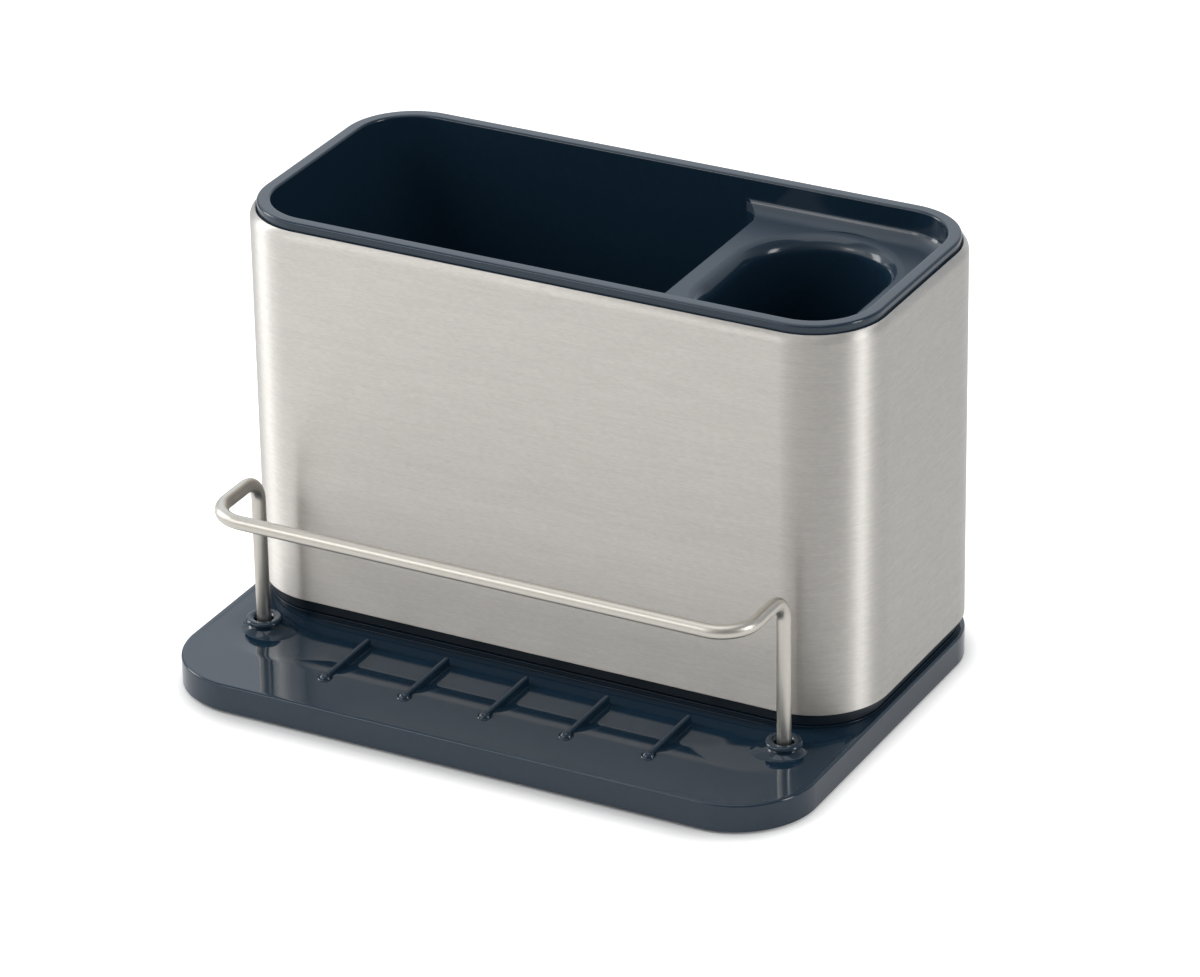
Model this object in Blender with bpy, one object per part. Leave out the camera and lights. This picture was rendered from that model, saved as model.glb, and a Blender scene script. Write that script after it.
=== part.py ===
"""Free-standing sink tidy.

A brushed steel sleeve stands on a wide drip tray. A moulded plastic liner with a long
compartment and a round-ended cup lifts out of the sleeve, the sleeve and its base lift
off the tray, and a bent wire towel rail plugs into two sockets in front of them.

Metres, +Z up, front of the tidy towards -Y. The origin is on the worktop, under the
middle of the drip tray.
"""

from math import acos, cos, pi, radians, sin

import bmesh
import bpy
from mathutils import Vector

# Shared fits
FIT_GAP = 0.0003
CUT_OVERRUN = 0.004
MERGE_DISTANCE = 0.000001
CORNER_STEPS = 8
FILLET_STEPS = 4
ROUND_STEPS = 24
KNOB_STEPS = 12
SMOOTH_ANGLE = radians(32)

# Steel sleeve
SLEEVE_WIDTH = 0.2392
SLEEVE_DEPTH = 0.111
SLEEVE_HEIGHT = 0.140
SLEEVE_CORNER_RADIUS = 0.0277
SHEET = 0.0008
SHOULDER_RADIUS = 0.004
SHOULDER_REACH = 0.0022
HEM_REACH = 0.0032
HEM_RADIUS = 0.001
SLEEVE_LIFT = 0.00495

# Drip tray
TRAY_SIDE_MARGIN = 0.0004
TRAY_BACK_MARGIN = 0.0003
TRAY_FRONT_REACH = 0.0577
TRAY_CORNER_RADIUS = 0.0287
TRAY_EDGE_HEIGHT = 0.010
TRAY_EDGE_ROUND = 0.0006
TRAY_SKIRT = 0.0024
TRAY_FLOOR = 0.0026
DISH_DEPTH = 0.0037
DISH_RUN = 0.0395
DISH_CORNER_RADIUS = 0.006
DISH_RING_SHARES = (0.06, 0.14, 0.25, 0.4, 0.6, 0.8, 1.0)

# Raised seat of the tray, which carries the caddy
SEAT_RISE = 0.0039
SEAT_INSET = 0.002
SEAT_APRON = 0.012
SEAT_LEDGE = 0.0046

# Ribs on the tray floor
RIB_COUNT = 5
RIB_PITCH = 0.0311
RIB_WIDTH = 0.0022
RIB_LENGTH = 0.0325
RIB_HEIGHT = 0.0047
RIB_BACK_GAP = 0.0072
KNOB_RADIUS = 0.00215
KNOB_RISE = 0.0004

# Sockets that hold the towel rail
SOCKET_SPACING = 0.2013
SOCKET_FRONT_GAP = 0.0133
SOCKET_HEIGHT = 0.0067
SOCKET_TOP_RADIUS = 0.0062
SOCKET_FOOT_RADIUS = 0.0082
SOCKET_BORE_RADIUS = 0.0031
SOCKET_DEPTH = 0.0095
SOCKET_ROUND = 0.0011

# Rubber feet
FOOT_RADIUS = 0.006
FOOT_SEAT = 0.0015
FOOT_STAND = 0.001
FOOT_BOSS_WALL = 0.002
FOOT_EDGE_INSET = 0.022
FOOT_BEVEL = 0.0004

# Towel rail
WIRE_RADIUS = 0.0025
RAIL_HEIGHT = 0.0673
RAIL_REACH = 0.0327
RAIL_TOP_BEND = 0.0085
RAIL_CORNER_BEND = 0.0122
WIRE_BEND_STEPS = 8
WIRE_SIDES_RESOLUTION = 4

# Caddy base
BASE_FOOT_INSET = 0.0024
BASE_WALL = 0.002
BASE_UPSTAND = 0.016
BASE_SPIGOT_DROP = 0.0024
BASE_SPIGOT_GAP = 0.0005
BASE_SHELF = 0.0035

# Inner liner
RIM_WIDTH = 0.0049
RIM_STAND = 0.003
RIM_SKIRT = 0.0016
RIM_SKIRT_DROP = 0.0045
RIM_ROUND = 0.0006
LINER_WALL = 0.002
LINER_FLOOR_FILLET = 0.003
LINER_FOOT_ROUND = 0.0015

# Deck and cup at the liner's right end
DECK_LENGTH = 0.0772
DECK_DROP = 0.0118
DECK_FILLET = 0.002
DIVIDER_FILLET = 0.0075
CUP_WIDTH = 0.050
CUP_LENGTH = 0.0768
CUP_LIP = 0.006
CUP_END_MARGIN = 0.0097
WALL_EMBED = 0.001
WALL_BITE = 0.0002

# Drain slots in the floors
SLOT_WIDTH = 0.0034
SLOT_LENGTH = 0.036
SLOT_PITCH = 0.0135
LINER_SLOT_COUNT = 9
CUP_SLOT_COUNT = 3
BASE_SLOT_COUNT = 13
CUP_SLOT_PITCH = 0.011

# Places that follow from the sizes above
TRAY_WIDTH = SLEEVE_WIDTH + 2 * TRAY_SIDE_MARGIN
TRAY_DEPTH = TRAY_FRONT_REACH + SLEEVE_DEPTH + TRAY_BACK_MARGIN
BODY_Y = (TRAY_FRONT_REACH - TRAY_BACK_MARGIN) / 2
BODY_FRONT_Y = BODY_Y - SLEEVE_DEPTH / 2
FLOOR_Z = TRAY_EDGE_HEIGHT - DISH_DEPTH
SEAT_Z = FLOOR_Z + SEAT_RISE
LINER_OUTER_INSET = SHOULDER_REACH + FIT_GAP + RIM_WIDTH - LINER_WALL
LINER_INNER_INSET = LINER_OUTER_INSET + LINER_WALL
SHELF_Z = SLEEVE_LIFT + SHEET + FIT_GAP + BASE_SHELF
LINER_HEIGHT = SLEEVE_LIFT + SLEEVE_HEIGHT + RIM_STAND - SHELF_Z - FIT_GAP
DECK_Z = LINER_HEIGHT - DECK_DROP
INNER_RIGHT_X = SLEEVE_WIDTH / 2 - LINER_INNER_INSET
DIVIDER_X = INNER_RIGHT_X - DECK_LENGTH
CUP_X = INNER_RIGHT_X - CUP_END_MARGIN - CUP_LIP - CUP_WIDTH / 2


def clear_scene():
    """Remove whatever the scene holds."""
    for old in list(bpy.data.objects):
        bpy.data.objects.remove(old)


def make_material(name, colour, roughness, metallic=0.0):
    """A Principled material with one colour."""
    material = bpy.data.materials.new(name)
    material.use_nodes = True
    shader = material.node_tree.nodes["Principled BSDF"]
    shader.inputs["Base Color"].default_value = (*colour, 1.0)
    shader.inputs["Roughness"].default_value = roughness
    shader.inputs["Metallic"].default_value = metallic
    return material


def add_group(name, location, parent=None):
    """An empty that carries the pieces that move together."""
    group = bpy.data.objects.new(name, None)
    group.location = location
    group.parent = parent
    bpy.context.scene.collection.objects.link(group)
    return group


def add_object(name, mesh, parent=None, location=(0, 0, 0)):
    """Put a mesh or curve in the scene under its carrier."""
    piece = bpy.data.objects.new(name, mesh)
    piece.location = location
    piece.parent = parent
    bpy.context.scene.collection.objects.link(piece)
    return piece


def box_around(width, depth, centre=(0, 0)):
    """Plan box as low x, high x, low y, high y."""
    x, y = centre
    return (x - width / 2, x + width / 2, y - depth / 2, y + depth / 2)


def inset_box(box, inset):
    """The same plan box drawn in on every side."""
    x0, x1, y0, y1 = box
    return (x0 + inset, x1 - inset, y0 + inset, y1 - inset)


def outline(box, radii, z, steps=CORNER_STEPS):
    """Points of a rectangle with round corners, counter-clockwise from the front right."""
    x0, x1, y0, y1 = box
    front_right, back_right, back_left, front_left = radii
    corners = (
        (x1 - front_right, y0 + front_right, front_right),
        (x1 - back_right, y1 - back_right, back_right),
        (x0 + back_left, y1 - back_left, back_left),
        (x0 + front_left, y0 + front_left, front_left),
    )
    points = []
    for turn, (x, y, radius) in enumerate(corners):
        for step in range(steps + 1):
            angle = (turn - 1 + step / steps) * pi / 2
            points.append(Vector((x + radius * cos(angle), y + radius * sin(angle), z)))
    return points


def ring(box, radius, inset, z, least=MERGE_DISTANCE):
    """A round-cornered outline drawn in by an inset, with its corners drawn in alike."""
    corner = max(radius - inset, least)
    return outline(inset_box(box, inset), (corner,) * 4, z)


def stadium(box, inset, z):
    """A round-ended bar or slot that fills a long narrow box."""
    x0, x1, _, _ = box
    corner = max((x1 - x0) / 2 - inset, MERGE_DISTANCE)
    return outline(inset_box(box, inset), (corner,) * 4, z, FILLET_STEPS)


def circle(x, y, radius, z, steps=ROUND_STEPS):
    """Points of a circle, counter-clockwise."""
    turns = [2 * pi * step / steps for step in range(steps)]
    return [Vector((x + radius * cos(turn), y + radius * sin(turn), z)) for turn in turns]


def bend(centre, radius, start, end, steps=FILLET_STEPS):
    """Points of an arc in a section, as pairs of inset and height."""
    inset, z = centre
    angles = [start + (end - start) * step / steps for step in range(steps + 1)]
    return [(inset + radius * cos(angle), z + radius * sin(angle)) for angle in angles]


def add_loft(bm, rings, closed=False):
    """Skin a row of rings; the two end rings are capped, or joined when closed."""
    rows = [[bm.verts.new(point) for point in points] for points in rings]
    pairs = list(zip(rows, rows[1:]))
    if closed:
        pairs.append((rows[-1], rows[0]))
    for lower, upper in pairs:
        for index in range(len(lower)):
            after = (index + 1) % len(lower)
            bm.faces.new((lower[index], lower[after], upper[after], upper[index]))
    if not closed:
        bm.faces.new(rows[0][::-1])
        bm.faces.new(rows[-1])


def finish_mesh(name, bm):
    """Close the seams, turn the faces outwards and shade the round parts smooth."""
    bmesh.ops.remove_doubles(bm, verts=bm.verts, dist=MERGE_DISTANCE * 2)
    bmesh.ops.recalc_face_normals(bm, faces=bm.faces)
    mesh = bpy.data.meshes.new(name)
    bm.to_mesh(mesh)
    bm.free()
    mesh.shade_smooth()
    mesh.set_sharp_from_angle(angle=SMOOTH_ANGLE)
    return mesh


def loft_mesh(name, *ring_rows, closed=False):
    """One mesh from one or more rows of rings."""
    bm = bmesh.new()
    for rings in ring_rows:
        add_loft(bm, rings, closed)
    return finish_mesh(name, bm)


def combine(target, name, mesh, operation):
    """Join a shape to a piece, or cut it away, with a live Boolean."""
    tool = add_object(name, mesh, parent=target)
    tool.hide_render = True
    tool.display_type = "WIRE"
    modifier = target.modifiers.new(name, "BOOLEAN")
    modifier.operation = operation
    modifier.solver = "EXACT"
    modifier.object = tool
    return tool


def slot_rows(count, pitch, centre, low, high):
    """Rings of a row of round-ended drain slots, side by side along X."""
    rows = []
    for index in range(count):
        x = centre[0] + (index - (count - 1) / 2) * pitch
        box = box_around(SLOT_WIDTH, SLOT_LENGTH, (x, centre[1]))
        rows.append([stadium(box, 0, z) for z in (low, high)])
    return rows


def body_box():
    """Plan box of the sleeve about the middle of the caddy."""
    return box_around(SLEEVE_WIDTH, SLEEVE_DEPTH)


def body_rings(section):
    """Rings that follow the sleeve's plan at each inset and height of a section."""
    return [ring(body_box(), SLEEVE_CORNER_RADIUS, inset, z) for inset, z in section]


def tray_box():
    """Plan box of the tray about its own middle."""
    return box_around(TRAY_WIDTH, TRAY_DEPTH)


def tray_ring(inset, z):
    """A ring that follows the tray's outer edge, with corners that never close up."""
    return ring(tray_box(), TRAY_CORNER_RADIUS, inset, z, DISH_CORNER_RADIUS)


def dish_rings(drop):
    """The dished floor, from near the edge down to its lowest part, lowered by drop."""
    rings = []
    for share in DISH_RING_SHARES:
        height = TRAY_EDGE_HEIGHT - DISH_DEPTH * (1 - (1 - share) ** 2)
        rings.append(tray_ring(share * DISH_RUN, height - drop))
    return rings


def tray_slab():
    """Solid tray blank: skirt, rounded edge and dished floor."""
    edge = bend((TRAY_EDGE_ROUND, TRAY_EDGE_HEIGHT - TRAY_EDGE_ROUND), TRAY_EDGE_ROUND, pi, pi / 2)
    rings = [tray_ring(0, 0)] + [tray_ring(inset, z) for inset, z in edge] + dish_rings(0)
    return loft_mesh("tray_slab", rings)


def tray_hollow():
    """The space under the tray floor, inside the skirt."""
    ceiling = [points for points in dish_rings(TRAY_FLOOR)[1:]]
    skirt = [tray_ring(TRAY_SKIRT, z) for z in (-CUT_OVERRUN, TRAY_EDGE_HEIGHT - DISH_DEPTH - TRAY_FLOOR)]
    return loft_mesh("tray_hollow", skirt + ceiling)


def seat_box():
    """Plan box of the seat's outer edge, in the tray's frame."""
    return inset_box(box_around(SLEEVE_WIDTH, SLEEVE_DEPTH, (0, BODY_Y)), SEAT_INSET)


def seat_mesh():
    """Raised seat with a concave apron that runs out over the dish."""
    corner = SLEEVE_CORNER_RADIUS - SEAT_INSET
    low = FLOOR_Z - TRAY_FLOOR / 2
    rings = [ring(seat_box(), corner, -SEAT_APRON, low)]
    for step in range(FILLET_STEPS * 2 + 1):
        turn = step / (FILLET_STEPS * 2) * pi / 2
        rings.append(ring(seat_box(), corner, -SEAT_APRON * (1 - sin(turn)), FLOOR_Z + SEAT_RISE * (1 - cos(turn))))
    return loft_mesh("seat", rings)


def seat_trim():
    """The part of the tray that the seat's apron may cover, inside the rounded edge."""
    low = FLOOR_Z - TRAY_FLOOR
    return loft_mesh("seat_trim", [tray_ring(TRAY_EDGE_ROUND, z) for z in (low, SEAT_Z + CUT_OVERRUN)])


def seat_well():
    """Shallow well inside the seat, where drips collect under the caddy."""
    corner = SLEEVE_CORNER_RADIUS - SEAT_INSET
    rings = [ring(seat_box(), corner, SEAT_LEDGE, z) for z in (FLOOR_Z, SEAT_Z + CUT_OVERRUN)]
    return loft_mesh("seat_well", rings)


def rib_rows():
    """Rounded ribs across the dish, each with a knob at its front end."""
    back = BODY_FRONT_Y - RIB_BACK_GAP
    top = FLOOR_Z + RIB_HEIGHT
    low = FLOOR_Z - TRAY_FLOOR / 2
    crown = bend((RIB_WIDTH / 2, top - RIB_WIDTH / 2), RIB_WIDTH / 2, pi, pi / 2)
    rows = []
    for index in range(RIB_COUNT):
        x = (index - (RIB_COUNT - 1) / 2) * RIB_PITCH
        length = RIB_LENGTH - KNOB_RADIUS
        box = box_around(RIB_WIDTH, length, (x, back - length / 2))
        rings = [stadium(box, 0, low)]
        rings += [stadium(box, inset, z) for inset, z in crown[:-1]]
        rows.append(rings)
    return rows


def knob_rows():
    """Domed knobs at the front ends of the ribs."""
    front = BODY_FRONT_Y - RIB_BACK_GAP - RIB_LENGTH
    crown_z = FLOOR_Z + RIB_HEIGHT + KNOB_RISE - KNOB_RADIUS
    rows = []
    for index in range(RIB_COUNT):
        x = (index - (RIB_COUNT - 1) / 2) * RIB_PITCH
        y = front + KNOB_RADIUS
        rings = [circle(x, y, KNOB_RADIUS, FLOOR_Z - TRAY_FLOOR / 2, KNOB_STEPS)]
        for step in range(FILLET_STEPS):
            turn = step / FILLET_STEPS * pi / 2
            rings.append(circle(x, y, KNOB_RADIUS * cos(turn), crown_z + KNOB_RADIUS * sin(turn), KNOB_STEPS))
        rows.append(rings)
    return rows


def socket_places():
    """Plan places of the two rail sockets."""
    y = BODY_FRONT_Y - SOCKET_FRONT_GAP
    return ((-SOCKET_SPACING / 2, y), (SOCKET_SPACING / 2, y))


def socket_rows():
    """Collars with a rounded top and a flared foot, carried down to the tray's lower edge."""
    top = FLOOR_Z + SOCKET_HEIGHT
    rows = []
    for x, y in socket_places():
        rings = [circle(x, y, SOCKET_FOOT_RADIUS, 0)]
        flare = SOCKET_FOOT_RADIUS - SOCKET_TOP_RADIUS
        start = top - SOCKET_ROUND - flare
        for step in range(FILLET_STEPS + 1):
            turn = step / FILLET_STEPS * pi / 2
            rings.append(circle(x, y, SOCKET_TOP_RADIUS + flare * cos(turn), start + flare * sin(turn)))
        for inset, z in bend((SOCKET_ROUND, top - SOCKET_ROUND), SOCKET_ROUND, pi, pi / 2)[1:]:
            rings.append(circle(x, y, SOCKET_TOP_RADIUS - inset, z))
        rows.append(rings)
    return rows


def socket_bore_rows():
    """Blind bores of the two sockets."""
    top = FLOOR_Z + SOCKET_HEIGHT
    heights = (top - SOCKET_DEPTH, top + CUT_OVERRUN)
    return [[circle(x, y, SOCKET_BORE_RADIUS, z) for z in heights] for x, y in socket_places()]


def foot_places():
    """Plan places of the four feet, near the tray's corners."""
    x = TRAY_WIDTH / 2 - FOOT_EDGE_INSET
    y = TRAY_DEPTH / 2 - FOOT_EDGE_INSET
    return {
        "foot_front_left": (-x, -y),
        "foot_front_right": (x, -y),
        "foot_back_left": (-x, y),
        "foot_back_right": (x, y),
    }


def foot_rows(radius, low, high):
    """One short cylinder at each foot."""
    places = foot_places().values()
    return [[circle(x, y, radius, z) for z in (low, high)] for x, y in places]


def make_drip_tray(group, material):
    """Hollow-backed tray with seat, well, ribs, rail sockets and foot recesses."""
    tray = add_object("drip_tray", tray_slab(), group, (0, 0, FOOT_STAND))
    tray.data.materials.append(material)
    combine(tray, "tray_hollow", tray_hollow(), "DIFFERENCE")
    boss = FOOT_RADIUS + FIT_GAP + FOOT_BOSS_WALL
    combine(tray, "foot_bosses", loft_mesh("foot_bosses", *foot_rows(boss, 0, FLOOR_Z - TRAY_FLOOR / 2)), "UNION")
    seat = combine(tray, "seat", seat_mesh(), "UNION")
    combine(seat, "seat_trim", seat_trim(), "INTERSECT")
    combine(tray, "seat_well", seat_well(), "DIFFERENCE")
    combine(tray, "ribs", loft_mesh("ribs", *rib_rows()), "UNION")
    combine(tray, "knobs", loft_mesh("knobs", *knob_rows()), "UNION")
    combine(tray, "sockets", loft_mesh("sockets", *socket_rows()), "UNION")
    combine(tray, "socket_bores", loft_mesh("socket_bores", *socket_bore_rows()), "DIFFERENCE")
    recess = foot_rows(FOOT_RADIUS + FIT_GAP, -CUT_OVERRUN, FOOT_SEAT)
    combine(tray, "foot_recesses", loft_mesh("foot_recesses", *recess), "DIFFERENCE")
    return tray


def make_feet(group, material):
    """Rubber pads let into the tray's underside, one for each corner."""
    top = FOOT_STAND + FOOT_SEAT - FIT_GAP
    for name, (x, y) in foot_places().items():
        rings = [circle(0, 0, FOOT_RADIUS - FOOT_BEVEL, 0)]
        rings += [circle(0, 0, FOOT_RADIUS, z) for z in (FOOT_BEVEL, top)]
        foot = add_object(name, loft_mesh(name, rings), group, (x, y, 0))
        foot.data.materials.append(material)


def corner_bend(corner, before, after, radius):
    """Arc of the wire round a square corner between two directions."""
    centre = corner - before * radius + after * radius
    points = []
    for step in range(WIRE_BEND_STEPS + 1):
        turn = step / WIRE_BEND_STEPS * pi / 2
        points.append(centre - after * radius * cos(turn) + before * radius * sin(turn))
    return points


def make_towel_rail(group, material):
    """One bent wire: up from a socket, forwards, along the front and back down again."""
    half = SOCKET_SPACING / 2
    height = RAIL_HEIGHT - (FLOOR_Z + SOCKET_HEIGHT - SOCKET_DEPTH + FIT_GAP)
    up, forward, right = Vector((0, 0, 1)), Vector((0, -1, 0)), Vector((1, 0, 0))
    left_top = Vector((-half, 0, height))
    right_top = Vector((half, 0, height))
    reach = forward * RAIL_REACH
    points = [Vector((-half, 0, 0))]
    points += corner_bend(left_top, up, forward, RAIL_TOP_BEND)
    points += corner_bend(left_top + reach, forward, right, RAIL_CORNER_BEND)
    points += corner_bend(right_top + reach, right, -forward, RAIL_CORNER_BEND)
    points += corner_bend(right_top, -forward, -up, RAIL_TOP_BEND)
    points.append(Vector((half, 0, 0)))
    curve = bpy.data.curves.new("towel_rail", "CURVE")
    curve.dimensions = "3D"
    curve.twist_mode = "MINIMUM"
    curve.bevel_depth = WIRE_RADIUS
    curve.bevel_resolution = WIRE_SIDES_RESOLUTION
    curve.use_fill_caps = True
    spline = curve.splines.new("POLY")
    spline.points.add(len(points) - 1)
    for target, point in zip(spline.points, points):
        target.co = (*point, 1.0)
    rail = add_object("towel_rail", curve, group)
    rail.data.materials.append(material)
    return rail


def make_steel_sleeve(group, material):
    """Open tube of sheet with a rolled top edge and a hem turned in at the bottom."""
    middle = SHOULDER_RADIUS
    inner = SHOULDER_RADIUS - SHEET
    turn = acos((middle - SHOULDER_REACH) / inner)
    shoulder_z = SLEEVE_HEIGHT - SHOULDER_RADIUS * sin(turn)
    section = [(HEM_REACH, 0)]
    section += bend((HEM_RADIUS, HEM_RADIUS), HEM_RADIUS, pi * 3 / 2, pi)
    section += bend((middle, shoulder_z), SHOULDER_RADIUS, pi, pi - turn)
    section += bend((middle, shoulder_z), inner, pi - turn, pi)
    section += bend((HEM_RADIUS, HEM_RADIUS), HEM_RADIUS - SHEET, pi, pi * 3 / 2)
    section.append((HEM_REACH, SHEET))
    sleeve = add_object("steel_sleeve", loft_mesh("steel_sleeve", body_rings(section), closed=True), group)
    sleeve.location.z = SLEEVE_LIFT
    sleeve.data.materials.append(material)
    return sleeve


def make_caddy_base(group, material):
    """Pan pressed into the sleeve's hem: it stands on the seat and carries the liner."""
    spigot = SEAT_INSET + SEAT_LEDGE + BASE_SPIGOT_GAP
    neck = HEM_REACH + FIT_GAP
    body = SHEET + FIT_GAP
    hem_low = SLEEVE_LIFT - FIT_GAP
    hem_high = SLEEVE_LIFT + SHEET + FIT_GAP
    top = hem_high + BASE_UPSTAND
    floor = BASE_WALL - BASE_SPIGOT_DROP
    section = [(spigot, -BASE_SPIGOT_DROP), (spigot, FIT_GAP)]
    section += [(BASE_FOOT_INSET, FIT_GAP), (BASE_FOOT_INSET, hem_low)]
    section += [(neck, hem_low), (neck, hem_high), (body, hem_high), (body, top)]
    section += [(body + BASE_WALL, top), (body + BASE_WALL, SHELF_Z)]
    section += [(spigot + BASE_WALL, SHELF_Z), (spigot + BASE_WALL, floor)]
    base = add_object("caddy_base", loft_mesh("caddy_base", body_rings(section)), group)
    base.data.materials.append(material)
    slots = slot_rows(BASE_SLOT_COUNT, SLOT_PITCH, (0, 0), -BASE_SPIGOT_DROP - CUT_OVERRUN, floor + CUT_OVERRUN)
    combine(base, "base_slots", loft_mesh("base_slots", *slots), "DIFFERENCE")
    return base


def liner_shell():
    """Open box of the liner with its rolled rim, before the deck is added."""
    rim = SHOULDER_REACH + FIT_GAP
    under = LINER_HEIGHT - LINER_WALL
    skirt_z = LINER_HEIGHT - RIM_SKIRT_DROP
    fillet = LINER_FLOOR_FILLET
    foot = LINER_FOOT_ROUND
    section = bend((LINER_OUTER_INSET + foot, foot), foot, pi * 3 / 2, pi)
    section += [(LINER_OUTER_INSET, under), (rim + RIM_SKIRT, under)]
    section += [(rim + RIM_SKIRT, skirt_z), (rim, skirt_z)]
    section += bend((rim + RIM_ROUND, LINER_HEIGHT - RIM_ROUND), RIM_ROUND, pi, pi / 2)
    section += bend((LINER_INNER_INSET - RIM_ROUND, LINER_HEIGHT - RIM_ROUND), RIM_ROUND, pi / 2, 0)
    section += bend((LINER_INNER_INSET + fillet, LINER_WALL + fillet), fillet, pi, pi * 3 / 2)
    return loft_mesh("inner_liner", body_rings(section))


def deck_block():
    """Block that fills the liner's right end up to the deck, with a fillet at the walls."""
    outer = LINER_INNER_INSET - WALL_EMBED
    start = LINER_INNER_INSET - WALL_BITE / 2
    x0, x1, y0, y1 = body_box()
    box = (DIVIDER_X - DIVIDER_FILLET * 3, x1, y0, y1)
    section = [(outer, LINER_WALL / 2), (outer, DECK_Z + DECK_FILLET)]
    section += bend((start + DECK_FILLET, DECK_Z + DECK_FILLET), DECK_FILLET, pi, pi * 3 / 2)
    rings = []
    for inset, z in section:
        corner = SLEEVE_CORNER_RADIUS - inset
        rings.append(outline(inset_box(box, inset), (corner, corner, MERGE_DISTANCE, MERGE_DISTANCE), z))
    return loft_mesh("deck_block", rings)


def compartment_cut():
    """The long compartment, with its small corner radius at the divider."""
    x0, x1, y0, y1 = inset_box(body_box(), LINER_INNER_INSET - WALL_BITE)
    box = (x0, DIVIDER_X, y0, y1)
    small = DIVIDER_FILLET + WALL_BITE
    large = SLEEVE_CORNER_RADIUS - LINER_INNER_INSET + WALL_BITE
    heights = (-CUT_OVERRUN, LINER_HEIGHT + CUT_OVERRUN)
    return loft_mesh("compartment", [outline(box, (small, small, large, large), z) for z in heights])


def cup_rings(wall, low, high):
    """Rings of the cup, widened by a wall, with the curve of its lip."""
    lip = CUP_LIP - wall
    box = box_around(CUP_WIDTH + 2 * wall, CUP_LENGTH + 2 * wall, (CUP_X, 0))
    corner = CUP_WIDTH / 2 + wall
    rings = [ring(box, corner, 0, low)]
    for step in range(FILLET_STEPS + 1):
        turn = step / FILLET_STEPS * pi / 2
        rings.append(ring(box, corner, lip * (cos(turn) - 1), DECK_Z - CUP_LIP + lip * sin(turn)))
    rings.append(ring(box, corner, -lip, high))
    return rings


def deck_hollow():
    """The open-bottomed space under the deck, round the cup."""
    x0, x1, y0, y1 = inset_box(body_box(), LINER_INNER_INSET)
    box = (DIVIDER_X + LINER_WALL, x1, y0, y1)
    large = SLEEVE_CORNER_RADIUS - LINER_INNER_INSET
    small = DIVIDER_FILLET - LINER_WALL
    rings = [outline(box, (large, large, small, small), z) for z in (-CUT_OVERRUN, DECK_Z - LINER_WALL)]
    return loft_mesh("deck_hollow", rings)


def make_inner_liner(group, material):
    """Moulded liner: rim, long compartment, deck and cup, with slots in the floors."""
    liner = add_object("inner_liner", liner_shell(), group)
    liner.data.materials.append(material)
    block = combine(liner, "deck_block", deck_block(), "UNION")
    combine(block, "compartment", compartment_cut(), "DIFFERENCE")
    hollow = combine(liner, "deck_hollow", deck_hollow(), "DIFFERENCE")
    combine(hollow, "cup_wall", loft_mesh("cup_wall", cup_rings(LINER_WALL, -2 * CUT_OVERRUN, DECK_Z)), "DIFFERENCE")
    cup = cup_rings(0, LINER_WALL, DECK_Z + CUT_OVERRUN)
    combine(liner, "cup", loft_mesh("cup", cup), "DIFFERENCE")
    middle = (DIVIDER_X - INNER_RIGHT_X) / 2
    low, high = -CUT_OVERRUN, LINER_WALL + CUT_OVERRUN
    slots = slot_rows(LINER_SLOT_COUNT, SLOT_PITCH, (middle, 0), low, high)
    slots += slot_rows(CUP_SLOT_COUNT, CUP_SLOT_PITCH, (CUP_X, 0), low, high)
    combine(liner, "liner_slots", loft_mesh("liner_slots", *slots), "DIFFERENCE")
    return liner


def main():
    clear_scene()
    tray_plastic = make_material("tray_plastic", (0.020, 0.028, 0.038), 0.18)
    liner_plastic = make_material("liner_plastic", (0.016, 0.023, 0.032), 0.22)
    base_plastic = make_material("base_plastic", (0.014, 0.020, 0.028), 0.35)
    foot_rubber = make_material("foot_rubber", (0.020, 0.020, 0.022), 0.85)
    sleeve_steel = make_material("sleeve_steel", (0.60, 0.58, 0.56), 0.33, 1.0)
    wire_steel = make_material("wire_steel", (0.55, 0.53, 0.50), 0.28, 1.0)

    tray_group = add_group("tray_group", (0, 0, 0))
    seat_z = FOOT_STAND + SEAT_Z
    caddy_group = add_group("caddy_group", (0, BODY_Y, seat_z), tray_group)
    liner_group = add_group("liner_group", (0, 0, SHELF_Z + FIT_GAP), caddy_group)
    socket_floor = FOOT_STAND + FLOOR_Z + SOCKET_HEIGHT - SOCKET_DEPTH
    rail_y = BODY_FRONT_Y - SOCKET_FRONT_GAP
    rail_group = add_group("rail_group", (0, rail_y, socket_floor + FIT_GAP), tray_group)

    make_drip_tray(tray_group, tray_plastic)
    make_feet(tray_group, foot_rubber)
    make_towel_rail(rail_group, wire_steel)
    make_steel_sleeve(caddy_group, sleeve_steel)
    make_caddy_base(caddy_group, base_plastic)
    make_inner_liner(liner_group, liner_plastic)


main()
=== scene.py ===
from math import acos, cos, pi, radians, sin

import bmesh
import bpy
from bpy.props import FloatProperty, FloatVectorProperty, IntProperty, PointerProperty
from mathutils import Matrix, Vector


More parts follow.
